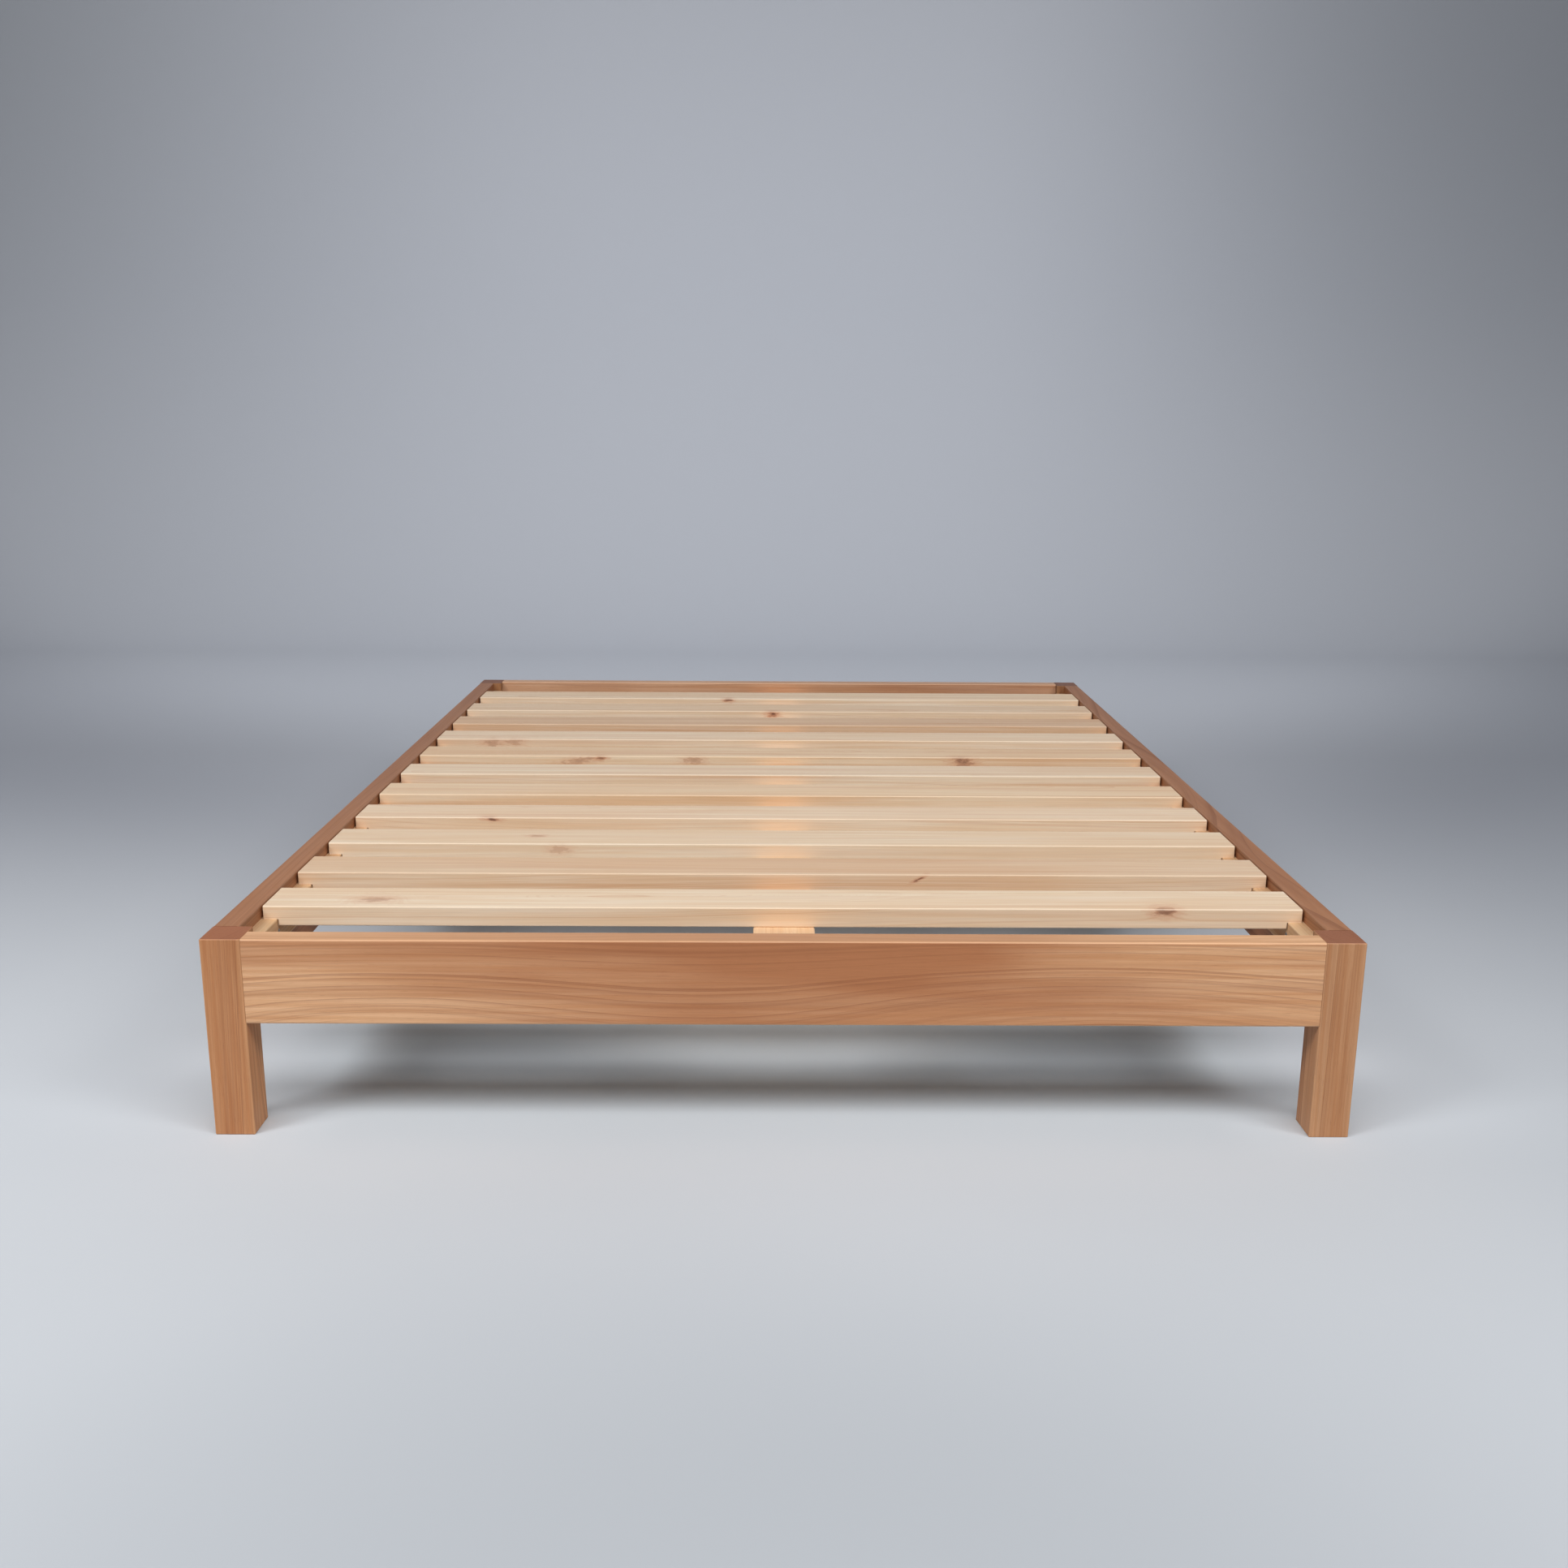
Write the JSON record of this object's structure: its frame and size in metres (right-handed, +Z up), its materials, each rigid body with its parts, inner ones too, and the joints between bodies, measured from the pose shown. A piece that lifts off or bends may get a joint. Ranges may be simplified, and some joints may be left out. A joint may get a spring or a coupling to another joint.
{
  "type": "platform bed",
  "caption": "Low slatted platform bed: hardwood rails flush between square legs, loose pine slats rebated over side ledgers, flat centre beam on a hidden leg.",
  "frame": {"origin": "middle of the floor area that the bed covers", "axes": "+X across the bed to the right seen from the foot end, +Y from the foot end to the head end, +Z up"},
  "size_m": [1.6, 2.1, 0.29],
  "materials": {
    "brown_hardwood": "oiled, satin, straight and cathedral grain",
    "pale_pine": "planed, bare, with small knots",
    "zinc_plated_steel": "zinc plated"
  },
  "bodies": {
    "frame": {"beam_saddle_foot": "pale_pine", "beam_saddle_head": "pale_pine", "centre_beam": "pale_pine", "centre_leg": "brown_hardwood", "centre_leg_stud": "zinc_plated_steel", "foot_rail": "brown_hardwood", "head_rail": "brown_hardwood", "hook_plate_foot_left": "zinc_plated_steel", "hook_plate_foot_right": "zinc_plated_steel", "hook_plate_head_left": "zinc_plated_steel", "hook_plate_head_right": "zinc_plated_steel", "ledger_left": "pale_pine", "ledger_right": "pale_pine", "ledger_screws": "zinc_plated_steel", "leg_foot_left": "brown_hardwood", "leg_foot_right": "brown_hardwood", "leg_head_left": "brown_hardwood", "leg_head_right": "brown_hardwood", "plate_screws": "zinc_plated_steel", "saddle_screws": "zinc_plated_steel", "side_rail_left": "brown_hardwood", "side_rail_right": "brown_hardwood", "slotted_plate_foot_left": "zinc_plated_steel", "slotted_plate_foot_right": "zinc_plated_steel", "slotted_plate_head_left": "zinc_plated_steel", "slotted_plate_head_right": "zinc_plated_steel"},
    "slat_01": {"slat_01": "pale_pine"},
    "slat_02": {"slat_02": "pale_pine"},
    "slat_03": {"slat_03": "pale_pine"},
    "slat_04": {"slat_04": "pale_pine"},
    "slat_05": {"slat_05": "pale_pine"},
    "slat_06": {"slat_06": "pale_pine"},
    "slat_07": {"slat_07": "pale_pine"},
    "slat_08": {"slat_08": "pale_pine"},
    "slat_09": {"slat_09": "pale_pine"},
    "slat_10": {"slat_10": "pale_pine"},
    "slat_11": {"slat_11": "pale_pine"}
  },
  "joints": [
    {"name": "slat_01_lift", "type": "slide", "parent": "frame", "child": "slat_01", "axis": [0, 0, 1], "range_m": [0, 0.12]},
    {"name": "slat_02_lift", "type": "slide", "parent": "frame", "child": "slat_02", "axis": [0, 0, 1], "range_m": [0, 0.12]},
    {"name": "slat_03_lift", "type": "slide", "parent": "frame", "child": "slat_03", "axis": [0, 0, 1], "range_m": [0, 0.12]},
    {"name": "slat_04_lift", "type": "slide", "parent": "frame", "child": "slat_04", "axis": [0, 0, 1], "range_m": [0, 0.12]},
    {"name": "slat_05_lift", "type": "slide", "parent": "frame", "child": "slat_05", "axis": [0, 0, 1], "range_m": [0, 0.12]},
    {"name": "slat_06_lift", "type": "slide", "parent": "frame", "child": "slat_06", "axis": [0, 0, 1], "range_m": [0, 0.12]},
    {"name": "slat_07_lift", "type": "slide", "parent": "frame", "child": "slat_07", "axis": [0, 0, 1], "range_m": [0, 0.12]},
    {"name": "slat_08_lift", "type": "slide", "parent": "frame", "child": "slat_08", "axis": [0, 0, 1], "range_m": [0, 0.12]},
    {"name": "slat_09_lift", "type": "slide", "parent": "frame", "child": "slat_09", "axis": [0, 0, 1], "range_m": [0, 0.12]},
    {"name": "slat_10_lift", "type": "slide", "parent": "frame", "child": "slat_10", "axis": [0, 0, 1], "range_m": [0, 0.12]},
    {"name": "slat_11_lift", "type": "slide", "parent": "frame", "child": "slat_11", "axis": [0, 0, 1], "range_m": [0, 0.12]}
  ]
}
